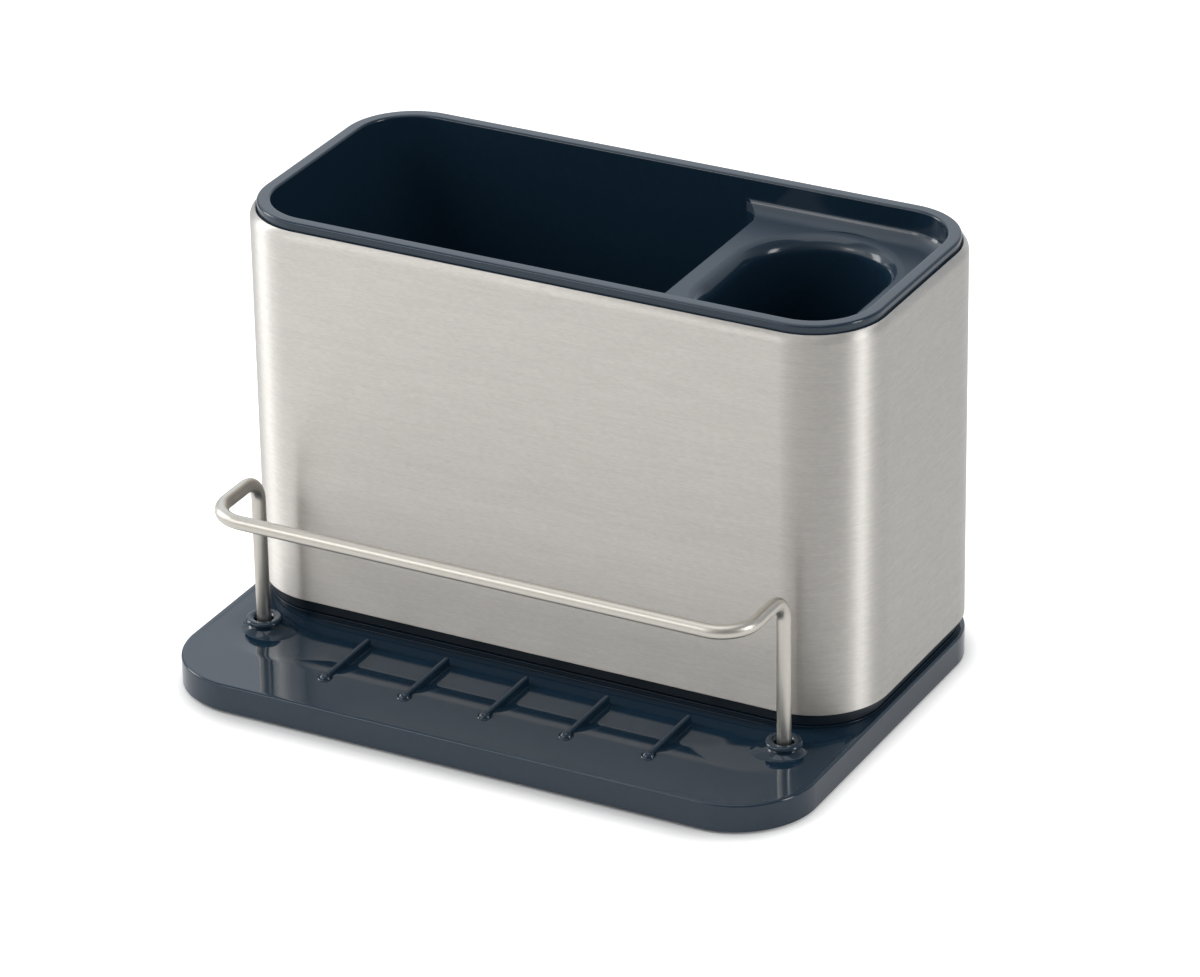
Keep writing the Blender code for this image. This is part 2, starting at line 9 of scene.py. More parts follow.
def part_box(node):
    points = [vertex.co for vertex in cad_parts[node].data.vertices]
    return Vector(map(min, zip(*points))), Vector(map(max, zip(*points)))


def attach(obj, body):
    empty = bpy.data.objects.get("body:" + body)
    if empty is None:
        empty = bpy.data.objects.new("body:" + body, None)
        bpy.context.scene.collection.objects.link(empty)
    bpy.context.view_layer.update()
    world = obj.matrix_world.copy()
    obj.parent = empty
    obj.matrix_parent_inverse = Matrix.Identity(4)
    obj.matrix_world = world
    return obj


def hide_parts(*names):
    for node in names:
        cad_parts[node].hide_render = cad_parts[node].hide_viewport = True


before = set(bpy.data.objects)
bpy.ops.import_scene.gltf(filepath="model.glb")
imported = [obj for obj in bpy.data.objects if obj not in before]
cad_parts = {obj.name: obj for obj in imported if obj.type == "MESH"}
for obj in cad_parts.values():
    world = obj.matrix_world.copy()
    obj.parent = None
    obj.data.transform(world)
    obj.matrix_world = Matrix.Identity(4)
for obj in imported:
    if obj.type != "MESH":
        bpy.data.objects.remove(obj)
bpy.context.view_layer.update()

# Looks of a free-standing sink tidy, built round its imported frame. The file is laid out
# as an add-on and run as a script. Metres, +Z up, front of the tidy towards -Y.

bl_info = {
    "name": "Sink Tidy",
    "version": (1, 0, 0),
    "blender": (4, 5, 0),
    "location": "View3D > Sidebar > Sink Tidy",
    "description": "Builds a steel sink tidy with its liner, drip tray and towel rail",
    "category": "Add Mesh",
}

QUARTER = pi / 2

# Lengths: places this close count as one, a bite into a neighbour, and a cut's run past its piece
TOUCH = 0.00001
BITE = 0.0002
OVERRUN = 0.01

# Steps of round stretches, from the upright corners down to the smallest edges
CORNER_STEPS = 32
BEND_STEPS = 16
ROLL_STEPS = 12
FILLET_STEPS = 8
EDGE_STEPS = 5
FINE_STEPS = 4

# Edges sharper than these angles are bevelled, or kept sharp in the shading
BEVEL_ANGLE = radians(50)
SHADE_ANGLE = radians(30)


def length(name, description, default):
    """A size in metres that a user can change."""
    return FloatProperty(
        name=name, description=description, default=default, min=0, unit="LENGTH", precision=5
    )


def count(name, description, default, least=0):
    """A number of like features that a user can change."""
    return IntProperty(name=name, description=description, default=default, min=least)


def colour(name, description, default):
    """A colour that a user can change."""
    return FloatVectorProperty(
        name=name, description=description, default=default, size=3, min=0, max=1, subtype="COLOR"
    )


class TidySizes(bpy.types.PropertyGroup):
    """Sizes of the tidy's pieces; the outer boxes come from the frame."""

    corner_radius: length("Body corner", "Radius of the sleeve's upright corners", 0.0277)
    sheet: length("Sheet", "Thickness of the sleeve's steel", 0.0008)
    shoulder_radius: length("Shoulder radius", "Radius of the sleeve's top edge", 0.004)
    shoulder_reach: length("Shoulder reach", "How far the top edge rolls in", 0.0022)
    hem_radius: length("Hem radius", "Radius of the sleeve's lower edge", 0.0005)
    hem_reach: length("Hem reach", "How far the hem turns in", 0.0032)
    rim_width: length("Rim width", "Width of the liner's rim from above", 0.0049)
    rim_height: length("Rim height", "Depth of the rim's skirt", 0.0045)
    rim_skirt: length("Rim skirt", "Thickness of the rim's skirt", 0.0016)
    rim_round: length("Rim round", "Radius of the rim's two edges", 0.0009)
    fit_gap: length("Fit gap", "Gap between base and hem", 0.0003)
    liner_wall: length("Liner wall", "Thickness of liner and base", 0.002)
    floor_fillet: length("Floor fillet", "Radius between liner walls and floor", 0.003)
    deck_length: length("Deck length", "From divider to right wall", 0.0772)
    deck_drop: length("Deck drop", "From the rim down to the deck", 0.0118)
    deck_cove: length("Deck cove", "Radius of the hollow round the deck", 0.006)
    cove_edge: length("Cove edge", "Thickness of its top edge", 0.0005)
    deck_edge: length("Deck edge", "Radius of its edge at the divider", 0.0009)
    deck_embed: length("Deck embed", "How far its block runs into the walls", 0.0005)
    divider_fillet: length("Divider fillet", "Radius where divider and walls meet", 0.0075)
    cup_width: length("Cup width", "Width of the cup's bore", 0.050)
    cup_length: length("Cup length", "Length of the cup's bore", 0.0768)
    cup_lip: length("Cup lip", "Radius of the cup's lip", 0.006)
    cup_margin: length("Cup margin", "From the lip to the right wall", 0.0097)
    slot_width: length("Slot width", "Width of a drain slot", 0.0034)
    slot_length: length("Slot length", "Length of a drain slot", 0.036)
    slot_pitch: length("Slot pitch", "From one drain slot to the next", 0.0135)
    cup_slot_pitch: length("Cup slot pitch", "The same in the cup", 0.011)
    base_foot_inset: length("Base inset", "How far the base's foot stands in", 0.0024)
    spigot_gap: length("Spigot gap", "Gap between spigot and seat", 0.0005)
    base_edge: length("Base edge", "Width of the base's eased edges", 0.0003)
    tray_corner: length("Tray corner", "Radius of the tray's upright corners", 0.0287)
    tray_height: length("Tray height", "From the tray's underside to its top", 0.010)
    tray_round: length("Tray edge", "Radius of the tray's top edge", 0.0009)
    tray_skirt: length("Tray skirt", "Thickness of the tray's wall", 0.0024)
    tray_floor: length("Tray floor", "Thickness of the tray's floor", 0.0026)
    dish_depth: length("Dish depth", "Depth of the dish below that top", 0.0021)
    dish_border: length("Dish border", "Width of the almost flat front border", 0.023)
    dish_run: length("Dish slope", "Width of the slope behind that border", 0.0135)
    dish_side: length("Dish side border", "Width of the almost flat end borders", 0.003)
    dish_end_run: length("Dish end slope", "Width of the slopes inside those", 0.037)
    dish_pivot: length("Dish pivot", "How far back the dish narrows to", 0.06)
    pocket_depth: length("Pocket depth", "Depth of the seat's pocket", 0.0016)
    pocket_lap: length("Pocket lap", "Run of the dish under the seat", 0.001)
    seat_rise: length("Seat rise", "Height of the seat over the dish", 0.0023)
    seat_inset: length("Seat inset", "How far the seat stands in under the sleeve", 0.002)
    seat_fillet: length("Seat fillet", "Radius where the seat meets the dish", 0.0004)
    seat_lip: length("Seat lip", "Radius of the seat's upper edge", 0.0003)
    seat_ledge: length("Seat ledge", "Width of the seat's flat ledge", 0.0046)
    rib_pitch: length("Rib pitch", "From one rib to the next", 0.0311)
    rib_width: length("Rib width", "Thickness of a rib", 0.0023)
    rib_length: length("Rib length", "Length of a rib with its knob", 0.0325)
    rib_height: length("Rib height", "Height of a rib over the dish", 0.0031)
    rib_gap: length("Rib gap", "From the sleeve's front to the ribs", 0.0072)
    rib_flare: length("Rib flare", "Radius where a rib meets the dish", 0.0005)
    knob_radius: length("Knob radius", "Radius of the knob at a rib's front", 0.0023)
    knob_rise: length("Knob rise", "How far a knob stands over its rib", 0.0006)
    knob_sink: length("Knob sink", "Depth of a knob's foot below the edge", 0.0003)
    socket_base: length("Socket base", "Height of a socket's foot over the dish", 0.0013)
    socket_root: length("Socket root", "Reach of a socket below its foot", 0.002)
    socket_height: length("Socket height", "Height of a socket over its foot", 0.0043)
    socket_edge: length("Socket edge", "Radius of a socket's brim", 0.0011)
    socket_bore: length("Socket bore", "Radius of a socket's bore", 0.0031)
    socket_depth: length("Socket depth", "Depth of a socket's bore", 0.0098)
    boss_wall: length("Boss wall", "Wall round the bore below the tray", 0.0025)
    boss_floor: length("Boss floor", "Floor under the bore", 0.0015)
    wire_radius: length("Wire radius", "Radius of the rail's wire", 0.0025)
    rail_top_bend: length("Rail top bend", "Bend of the wire above a leg", 0.0085)
    rail_corner_bend: length("Rail corner bend", "Bend of the wire at a front corner", 0.0122)
    rib_count: count("Ribs", "Ribs across the dish", 5, 1)
    liner_slots: count("Liner slots", "Drain slots in the long compartment", 9)
    cup_slots: count("Cup slots", "Drain slots in the cup", 3)
    base_slots: count("Base slots", "Drain slots in the caddy base", 13)


class TidyColours(bpy.types.PropertyGroup):
    """Colours of the tidy's finishes; the deck's is the plastic lightened with painted light."""

    steel: colour("Steel", "Brushed steel of the sleeve", (0.665, 0.643, 0.61))
    wire: colour("Wire", "Drawn steel of the towel rail", (0.60, 0.575, 0.525))
    plastic: colour("Plastic", "Moulded plastic of tray and liner", (0.012, 0.031, 0.055))
    # Painted light: the deck's colour is lighter than the plastic, standing in for the light that the deck
    # reflects
    deck: colour("Deck", "The same plastic on the liner's satin deck", (0.035, 0.056, 0.082))
    rubber: colour("Rubber", "Rubber of the feet", (0.022, 0.022, 0.024))
    floor: colour("Floor", "Worktop under the tidy", (0.9, 0.9, 0.9))


# Modelling helpers

def choose(piece):
    """Make a piece the only selected one."""
    bpy.ops.object.select_all(action="DESELECT")
    piece.select_set(True)
    bpy.context.view_layer.objects.active = piece


def start_block(name, low, high):
    """Add a block that fills a box and open its mesh."""
    middle = [(a + b) / 2 for a, b in zip(low, high)]
    size = [b - a for a, b in zip(low, high)]
    bpy.ops.mesh.primitive_cube_add(size=1, location=middle, scale=size)
    return open_new(name)


def start_disc(name, x, y, z, radius, sides):
    """Add a filled disc and open its mesh."""
    bpy.ops.mesh.primitive_circle_add(vertices=sides, radius=radius, fill_type="NGON", location=(x, y, z))
    return open_new(name)


def open_new(name):
    """Name the new primitive, apply its place and open it for editing."""
    piece = bpy.context.object
    piece.name = name
    piece.data.name = name
    bpy.ops.object.transform_apply(location=True, rotation=True, scale=True)
    bpy.ops.object.mode_set(mode="EDIT")
    return piece


def close_mesh():
    """Leave the open mesh."""
    bpy.ops.object.mode_set(mode="OBJECT")


def pick(kind, test):
    """Select only those edges or faces of the open mesh that pass a test."""
    bpy.ops.mesh.select_mode(type=kind)
    bpy.ops.mesh.select_all(action="DESELECT")
    data = bpy.context.edit_object.data
    mesh = bmesh.from_edit_mesh(data)
    found = 0
    for item in mesh.edges if kind == "EDGE" else mesh.faces:
        if test(item):
            item.select_set(True)
            found += 1
    bmesh.update_edit_mesh(data)
    if not found:
        raise RuntimeError(f"{data.name}: nothing to select")


def level(height, slack=TOUCH):
    """A test for edges and faces that lie at a height."""
    return lambda item: all(abs(v.co.z - height) < slack for v in item.verts)


def upright(edge):
    """True for an edge that runs straight up."""
    along = edge.verts[0].co - edge.verts[1].co
    return abs(along.x) < TOUCH and abs(along.y) < TOUCH


def bevel(offset, segments):
    """Round the selected edges."""
    bpy.ops.mesh.bevel(
        offset=offset, offset_type="OFFSET", segments=segments, affect="EDGES", clamp_overlap=False
    )


def round_uprights(radius, segments=CORNER_STEPS, test=None):
    """Round the upright corners of a block, or those whose place passes a test."""
    pick("EDGE", lambda edge: upright(edge) and (test is None or test(edge.verts[0].co)))
    bevel(radius, segments)
    bpy.ops.mesh.select_all(action="SELECT")
    bpy.ops.mesh.remove_doubles(threshold=3 * TOUCH)


def arc(inset, height, radius, start, end, steps):
    """Points of an arc in a moulding's section, as insets and heights."""
    turns = [start + (end - start) * step / steps for step in range(steps + 1)]
    return [(inset + radius * cos(turn), height + radius * sin(turn)) for turn in turns]


def pull(step):
    """Extrude the selected face by a step."""
    bpy.ops.mesh.extrude_region_move(TRANSFORM_OT_translate={"value": step})


def draw(section):
    """Carry the selected flat face along a section of insets and heights."""
    data = bpy.context.edit_object.data
    facing = next(face.normal.z for face in bmesh.from_edit_mesh(data).faces if face.select)
    side = 1 if facing > 0 else -1
    for (inset, height), (next_inset, next_height) in zip(section, section[1:]):
        step = next_inset - inset
        rise = next_height - height
        if step > TOUCH / 10:
            bpy.ops.mesh.inset(thickness=step, depth=rise * side, use_even_offset=True)
        else:
            pull((0, 0, rise))


def draw_face(height, section):
    """Carry the flat face at a height along a section."""
    pick("FACE", lambda face: level(height)(face) and abs(face.normal.z) > 0.9)
    draw(section)


def draw_rings(rings, half_x, half_y, pivot):
    """Carry the selected face through rings of end inset, front inset and height, about a pivot line."""
    for (x, y, z), (next_x, next_y, next_z) in zip(rings, rings[1:]):
        pull((0, 0, next_z - z))
        ratio_x = (half_x - next_x) / (half_x - x)
        ratio_y = (pivot + half_y - next_y) / (pivot + half_y - y)
        bpy.ops.transform.resize(value=(ratio_x, ratio_y, 1), center_override=(0, pivot, next_z))


def blend(share, soft):
    """A straight ramp from 0 to 1 whose two ends are rounded over a soft share of its run."""
    slope = 1 / (1 - soft)
    if share < soft:
        return slope * share * share / (2 * soft)
    if share > 1 - soft:
        return 1 - blend(1 - share, soft)
    return slope * (share - soft / 2)


def turn(centre, axis, way):
    """Spin the wire's end a quarter turn round a bend's centre."""
    bpy.ops.mesh.spin(steps=BEND_STEPS, angle=-way * QUARTER, center=centre, axis=axis)


def modify(piece, kind, **settings):
    """Add a modifier, set it and apply it."""
    choose(piece)
    modifier = piece.modifiers.new(kind.lower(), kind)
    for key, value in settings.items():
        setattr(modifier, key, value)
    bpy.ops.object.modifier_apply(modifier=modifier.name)


def ease_edges(piece, width, angle=BEVEL_ANGLE):
    """Bevel the sharp edges of a piece."""
    modify(piece, "BEVEL", width=width, segments=2, limit_method="ANGLE", angle_limit=angle)


def carve(piece, tool, operation="DIFFERENCE"):
    """Cut a tool's shape out of a piece, join it on or keep what they share, and drop the tool."""
    modify(piece, "BOOLEAN", operation=operation, solver="EXACT", object=tool)
    bpy.data.objects.remove(tool)


def tidy_normals(piece):
    """Merge doubles and turn all faces outwards."""
    choose(piece)
    bpy.ops.object.mode_set(mode="EDIT")
    bpy.ops.mesh.select_all(action="SELECT")
    bpy.ops.mesh.remove_doubles(threshold=TOUCH / 5)
    bpy.ops.mesh.normals_make_consistent(inside=False)
    close_mesh()


def move_mesh(piece, shift):
    """Move a piece's mesh and leave its object at the origin."""
    choose(piece)
    piece.location = shift
    bpy.ops.object.transform_apply(location=True, rotation=False, scale=False)


def copy_piece(piece, name, shift):
    """Copy a finished piece with its own mesh, moved by a shift."""
    choose(piece)
    bpy.ops.object.duplicate()
    twin = bpy.context.object
    twin.name = name
    twin.data.name = name
    move_mesh(twin, shift)
    return twin


def hand_over(piece, body, node, slot, material):
    """Shade a finished piece, give it its finish and set it in the frame."""
    choose(piece)
    bpy.ops.object.shade_smooth_by_angle(angle=SHADE_ANGLE)
    modify(piece, "WEIGHTED_NORMAL", keep_sharp=True, weight=50)
    piece.data.materials.clear()
    piece.data.materials.append(material)
    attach(piece, body)
    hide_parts(node)


def cut_slots(piece, centre, number, pitch, floor, sizes):
    """Cut a row of round-ended drain slots through a floor."""
    half_x, half_y = sizes.slot_width / 2, sizes.slot_length / 2
    row = None
    for index in range(number):
        x = centre[0] + (index - (number - 1) / 2) * pitch
        low = (x - half_x, centre[1] - half_y, floor[0] - OVERRUN)
        high = (x + half_x, centre[1] + half_y, floor[1] + OVERRUN)
        block = start_block("slots", low, high)
        round_uprights(half_x - TOUCH, EDGE_STEPS + 1)
        close_mesh()
        if row:
            row.select_set(True)
            bpy.context.view_layer.objects.active = row
            bpy.ops.object.join()
        else:
            row = block
    if row:
        carve(piece, row)


# Materials

def opaque(tone):
    """A colour with full cover."""
    return (*tone, 1)


def scaled(tone, factor):
    """A colour made darker or lighter."""
    return [min(1.0, part * factor) for part in tone]


class NodeBuilder:
    """Adds and joins the nodes of one tree."""

    def __init__(self, tree):
        self.tree = tree

    def put(self, value, target):
        """Give an input a value, or link it to a socket."""
        if isinstance(value, bpy.types.NodeSocket):
            self.tree.links.new(value, target)
        else:
            target.default_value = value

    def add(self, kind, inputs=None, **settings):
        """Add a node, set its properties and then its inputs."""
        node = self.tree.nodes.new(kind)
        for key, value in settings.items():
            setattr(node, key, value)
        for key, value in (inputs or {}).items():
            self.put(value, node.inputs[key])
        return node

    def maths(self, operation, *values):
        """Work with numbers and sockets."""
        return self.add("ShaderNodeMath", dict(enumerate(values)), operation=operation).outputs[0]

    def vectors(self, operation, *values, result="Vector"):
        """Work with directions and sockets."""
        node = self.add("ShaderNodeVectorMath", dict(enumerate(values)), operation=operation)
        return node.outputs[result]

    def span(self, source, start, end, low, high, **settings):
        """Map one range of values onto another."""
        inputs = {"Value": source, "From Min": start, "From Max": end, "To Min": low, "To Max": high}
        return self.add("ShaderNodeMapRange", inputs, **settings).outputs["Result"]

    def mix(self, share, first, second, kind="FLOAT"):
        """Go from a first value or colour to a second one by a share."""
        inputs = {"Factor": share, "A": first, "B": second}
        return self.add("ShaderNodeMix", inputs, data_type=kind).outputs["Result"]


class Finish(NodeBuilder):
    """A node material for one finish, built up node by node."""

    def __init__(self, name, base, metallic=0.0):
        self.material = bpy.data.materials.new(name)
        self.material.use_nodes = True
        super().__init__(self.material.node_tree)
        self.shader = self.tree.nodes["Principled BSDF"]
        self.set("Base Color", opaque(base))
        self.set("Metallic", metallic)
        self.place = self.add("ShaderNodeTexCoord").outputs["Object"]

    def set(self, key, value):
        """Give one of the shader's inputs a value or a link."""
        self.put(value, self.shader.inputs[key])

    def noise(self, stretch, detail=3.0, rough=0.6):
        """Noise stretched along the three directions; the stretch is in waves per metre."""
        mapping = self.add("ShaderNodeMapping", {"Vector": self.place, "Scale": stretch})
        inputs = {"Vector": mapping.outputs["Vector"], "Scale": 1.0, "Detail": detail, "Roughness": rough}
        return self.add("ShaderNodeTexNoise", inputs).outputs["Fac"]

    def spread(self, source, low, high):
        """Map the middle range of a noise between two values."""
        return self.span(source, 0.3, 0.7, low, high)

    def hue(self, source, tone, dark, light):
        """A colour that a noise makes darker and lighter."""
        share = self.spread(source, 0.0, 1.0)
        return self.mix(share, opaque(scaled(tone, dark)), opaque(scaled(tone, light)), "RGBA")

    def bump(self, source, depth):
        """Raise the surface by a depth in metres."""
        bump = self.add("ShaderNodeBump", {"Distance": depth, "Height": source})
        self.set("Normal", bump.outputs["Normal"])


def brushed_steel(name, tone):
    """Sheet steel with fine level brushing that runs round the body."""
    fine_share = 0.7
    finish = Finish(name, tone, metallic=1.0)
    fine = finish.noise((380, 380, 2300))
    broad = finish.noise((60, 60, 900), detail=2.0, rough=0.5)
    grain = finish.maths("MULTIPLY_ADD", fine, fine_share, finish.maths("MULTIPLY", broad, 1 - fine_share))
    finish.set("Base Color", finish.hue(grain, tone, dark=0.93, light=1.07))
    finish.set("Roughness", finish.spread(grain, 0.56, 0.5))
    finish.bump(grain, depth=0.000004)
    finish.set("Anisotropic", 0.88)
    finish.set("Anisotropic Rotation", 0.25)
    tangent = finish.add("ShaderNodeTangent", direction_type="RADIAL", axis="Z")
    finish.set("Tangent", tangent.outputs["Tangent"])
    return finish.material


def drawn_wire(name, tone):
    """Drawn stainless wire with faint marks."""
    finish = Finish(name, tone, metallic=1.0)
    marks = finish.noise((500, 500, 500))
    finish.set("Base Color", finish.hue(marks, tone, dark=0.98, light=1.02))
    finish.set("Roughness", finish.spread(marks, 0.36, 0.4))
    finish.bump(marks, depth=0.000001)
    return finish.material


def gloss_plastic(name, tone, dull, wave, ior=1.5, satin=None):
    """Moulded plastic with a faint flow; it can have a satin zone between two heights, whose lighter colour
    is painted light.
    """
    finish = Finish(name, tone)
    flow = finish.noise((wave, wave, wave), detail=1.0, rough=0.4)
    haze = finish.noise((420, 420, 420))
    hue = finish.hue(haze, tone, dark=0.95, light=1.05)
    roughness = finish.spread(haze, dull * 0.9, dull * 1.15)
    if satin:
        low, high, satin_dull, painted_light_tone = satin
        height = finish.add("ShaderNodeSeparateXYZ", {"Vector": finish.place}).outputs["Z"]
        above = finish.maths("GREATER_THAN", height, low)
        inside = finish.maths("MULTIPLY", above, finish.maths("LESS_THAN", height, high))
        roughness = finish.mix(inside, roughness, satin_dull)
        # Inside the satin zone the colour turns lighter, which is painted light
        hue = finish.mix(inside, hue, opaque(painted_light_tone), "RGBA")
    finish.set("Base Color", hue)
    finish.set("Roughness", roughness)
    finish.bump(flow, depth=0.00002)
    finish.set("IOR", ior)
    return finish.material


def matt_rubber(name, tone):
    """Soft rubber with a fine grain."""
    finish = Finish(name, tone)
    grain = finish.noise((2600, 2600, 2600))
    finish.set("Base Color", finish.hue(grain, tone, dark=0.8, light=1.25))
    finish.set("Roughness", finish.spread(grain, 0.7, 0.9))
    finish.bump(grain, depth=0.00003)
    return finish.material


def finish_named(name, maker, tone, **settings):
    """A finish made once and shared by its pieces."""
    return bpy.data.materials.get(name) or maker(name, tone, **settings)


def moulded(context, name, share=1, **settings):
    """A finish of the tidy's plastic, darkened to a share of its colour; a share below one is painted
    shade.
    """
    tone = scaled(context.scene.tidy_colours.plastic, share)
    return finish_named(name, gloss_plastic, tone, **settings)


def tray_plastic(context):
    """The tray's gloss plastic."""
    return moulded(context, "tray_gloss", dull=0.07, wave=60)


def seat_painted_shade_plastic(context):
    """The darker and less glossy plastic of the seat; its darker colour and weaker reflection are painted
    shade under the sleeve.
    """
    return moulded(context, "seat_gloss", 0.6, dull=0.2, wave=60, ior=1.3)


def base_plastic(context):
    """The caddy base's satin plastic, darkened as painted shade under the sleeve."""
    return moulded(context, "base_satin", 0.45, dull=0.4, wave=50)


def liner_plastic(context):
    """The liner's gloss plastic."""
    return moulded(context, "liner_gloss", dull=0.14, wave=50)


def deck_painted_light_plastic(context):
    """The liner's plastic with the satin face of the deck, lightened there with painted light."""
    sizes = context.scene.tidy_sizes
    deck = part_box("inner_liner")[1].z - sizes.deck_drop
    low, high = deck - sizes.cup_lip / 8, deck + sizes.deck_cove / 2
    satin = (low, high, 0.45, context.scene.tidy_colours.deck)
    return moulded(context, "deck_gloss", dull=0.14, wave=50, satin=satin)


# Places that several pieces share

# Body, solid and slot of the tray's pieces
TRAY = ("tray", "drip_tray", "tray_plastic")


def start_inside(node, name, inset, bottom, top, corner, steps=CORNER_STEPS):
    """Start a block with the outline of a solid of the frame, drawn in by an inset."""
    low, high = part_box(node)
    front_left = (low.x + inset, low.y + inset, bottom)
    block = start_block(name, front_left, (high.x - inset, high.y - inset, top))
    round_uprights(corner - inset, steps)
    return block


def liner_box(sizes):
    """Plan box of the liner's inner walls."""
    low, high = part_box("inner_liner")
    width = sizes.rim_width
    return low.x + width, high.x - width, low.y + width, high.y - width


def liner_inset():
    """How far the liner's rim stands in from the sleeve's outer face."""
    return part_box("inner_liner")[0].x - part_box("steel_sleeve")[0].x


def cup_centre(sizes):
    """Middle of the cup in plan."""
    _, right, front, back = liner_box(sizes)
    return right - sizes.cup_margin - sizes.cup_lip - sizes.cup_width / 2, (front + back) / 2


def tray_levels(sizes):
    """Heights of the tray: its underside, its edge and the dish's floor."""
    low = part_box("drip_tray")[0].z
    edge = low + sizes.tray_height
    return low, edge, edge - sizes.dish_depth


def rail_places(sizes):
    """The rail's centre line: its leg's side, front, back, foot and top."""
    low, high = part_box("towel_rail")
    wire = sizes.wire_radius
    return high.x - wire, low.y + wire, high.y - wire, low.z, high.z - wire


# Pieces

class TIDY_OT_steel_sleeve(bpy.types.Operator):
    """Brushed steel sleeve with a rolled shoulder and a turned-in hem"""

    bl_idname = "tidy.steel_sleeve"
    bl_label = "Steel Sleeve"

    def execute(self, context):
        sizes = context.scene.tidy_sizes
        low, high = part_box("steel_sleeve")
        radius = sizes.shoulder_radius
        rolled = acos((radius - sizes.shoulder_reach) / (radius - sizes.sheet))
        full = high.z - radius * sin(rolled) + radius
        sleeve = start_inside("steel_sleeve", "sleeve_shell", 0, low.z, full, sizes.corner_radius)
        pick("EDGE", level(full))
        bevel(radius, ROLL_STEPS)
        pick("EDGE", level(low.z))
        bevel(sizes.hem_radius, FINE_STEPS)
        draw_face(low.z, [(sizes.hem_radius, low.z), (sizes.hem_reach, low.z)])
        bpy.ops.mesh.delete(type="FACE")
        bpy.ops.mesh.select_all(action="SELECT")
        bpy.ops.mesh.bisect(plane_co=(0, 0, high.z), plane_no=(0, 0, 1), clear_outer=True)
        close_mesh()
        modify(sleeve, "SOLIDIFY", thickness=sizes.sheet, offset=-1, use_even_offset=True)
        ease_edges(sleeve, sizes.sheet / 5)
        steel = finish_named("brushed_steel", brushed_steel, context.scene.tidy_colours.steel)
        hand_over(sleeve, "caddy", "steel_sleeve", "sleeve_steel", steel)
        return {"FINISHED"}


class TIDY_OT_caddy_base(bpy.types.Operator):
    """Plastic pan held by the sleeve's hem, with a foot below it and a spigot for the tray's seat"""

    bl_idname = "tidy.caddy_base"
    bl_label = "Caddy Base"

    def execute(self, context):
        sizes = context.scene.tidy_sizes
        low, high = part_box("caddy_base")
        sleeve_low, sleeve_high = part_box("steel_sleeve")
        middle = (sleeve_low.y + sleeve_high.y) / 2
        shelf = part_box("inner_liner")[0].z - TOUCH
        gap, wall, foot = sizes.fit_gap, sizes.liner_wall, sizes.base_foot_inset
        body = sizes.sheet + gap
        neck = sizes.hem_reach + gap
        hem_low = sleeve_low.z - gap
        hem_top = sleeve_low.z + sizes.sheet + gap
        foot_low = tray_levels(sizes)[2] + sizes.seat_rise + gap
        spigot = sizes.seat_inset + sizes.seat_ledge + sizes.spigot_gap
        corner, steps = sizes.corner_radius, 2 * ROLL_STEPS
        base = start_inside("steel_sleeve", "base_pan", body, hem_top, high.z, corner, steps)
        section = [(body, high.z), (body + wall, high.z), (body + wall, shelf), (spigot + wall, shelf)]
        draw_face(high.z, section + [(spigot + wall, low.z + wall)])
        draw_face(hem_top, [(body, hem_top), (neck, hem_top), (neck, hem_low)])
        draw_rings([(neck, neck, hem_low), (foot, foot, hem_low)], sleeve_high.x, -sleeve_low.y, middle)
        draw([(foot, hem_low), (foot, foot_low), (spigot, foot_low), (spigot, low.z)])
        close_mesh()
        cut_slots(base, (0, middle), sizes.base_slots, sizes.slot_pitch, (low.z, low.z), sizes)
        ease_edges(base, sizes.base_edge)
        hand_over(base, "caddy", "caddy_base", "base_plastic", base_plastic(context))
        return {"FINISHED"}


class TIDY_OT_liner_shell(bpy.types.Operator):
    """Open box of the liner with its rolled rim"""

    bl_idname = "tidy.liner_shell"
    bl_label = "Liner Shell"

    def execute(self, context):
        sizes = context.scene.tidy_sizes
        low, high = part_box("inner_liner")
        inset = liner_inset()
        rim_low = high.z - sizes.rim_height
        edge = sizes.rim_round
        inner = inset + sizes.rim_width
        floor = low.z + sizes.liner_wall
        fillet = sizes.floor_fillet
        corner = sizes.corner_radius - inset
        shell = start_inside("inner_liner", "liner_shell", 0, rim_low, high.z, corner)
        pick("EDGE", level(high.z))
        bevel(edge, EDGE_STEPS)
        section = [(inset + edge, high.z)]
        section += arc(inner - edge, high.z - edge, edge, QUARTER, 0, EDGE_STEPS)
        section += arc(inner + fillet, floor + fillet, fillet, pi, pi + QUARTER, EDGE_STEPS + 1)
        draw_face(high.z, section)
        under = high.z - sizes.liner_wall
        outer = inner - sizes.liner_wall
        skirt = inset + sizes.rim_skirt
        section = [(inset, rim_low), (skirt, rim_low), (skirt, under), (outer, under)]
        section += arc(outer + fillet / 2, low.z + fillet / 2, fillet / 2, pi, pi + QUARTER, FINE_STEPS)
        draw_face(rim_low, section)
        close_mesh()
        cup = cup_centre(sizes)
        left, right, _, _ = liner_box(sizes)
        compartment = ((left + right - sizes.deck_length) / 2, cup[1])
        cut_slots(shell, compartment, sizes.liner_slots, sizes.slot_pitch, (low.z, floor), sizes)
        cut_slots(shell, cup, sizes.cup_slots, sizes.cup_slot_pitch, (low.z, floor), sizes)
        hand_over(shell, "liner", "inner_liner", "liner_plastic", liner_plastic(context))
        return {"FINISHED"}


